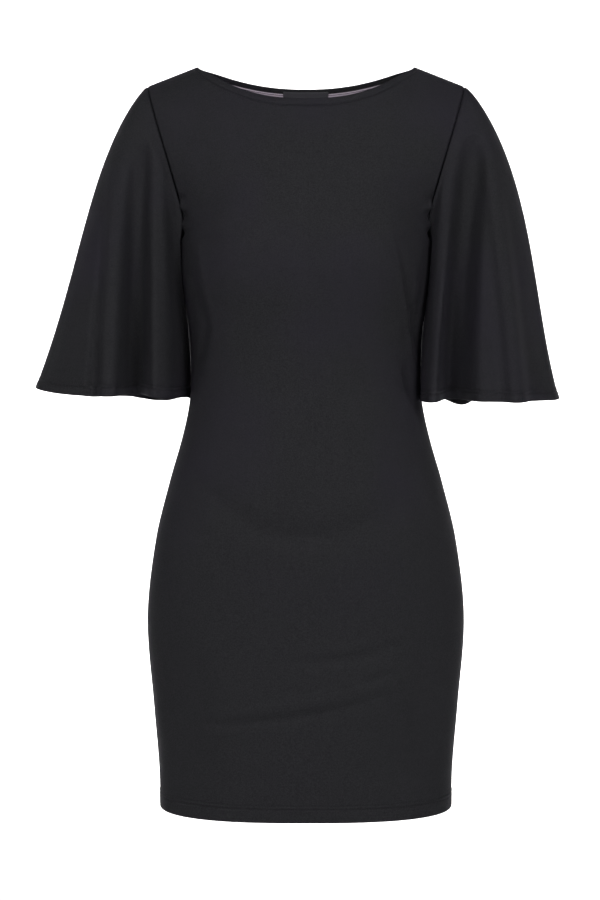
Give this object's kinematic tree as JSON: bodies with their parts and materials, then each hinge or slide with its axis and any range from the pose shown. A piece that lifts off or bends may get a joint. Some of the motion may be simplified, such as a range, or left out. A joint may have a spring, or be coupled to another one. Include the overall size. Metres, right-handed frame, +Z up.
{
  "type": "bodycon dress",
  "caption": "Short fitted jersey dress, filled out and hollow, with a wide boat neck, flared elbow-length sleeves and a straight hem.",
  "frame": {"origin": "midway between the two points where the shoulder seams meet the neck, on the line of the side seams", "axes": "+Z up towards the neck, -Y towards the front of the dress, +X towards the wearer's left"},
  "size_m": [0.626, 0.23, 0.8861],
  "materials": {
    "jersey": "matt smooth stretch jersey, near black",
    "tape": "pale lilac-grey twill tape",
    "label": "woven satin label, left bare"
  },
  "bodies": {
    "root": {"front_panel": "jersey", "back_panel": "jersey", "sleeve_right": "jersey", "sleeve_left": "jersey", "neck_binding": "jersey", "neck_tape": "tape", "neck_label": "label"}
  },
  "joints": []
}
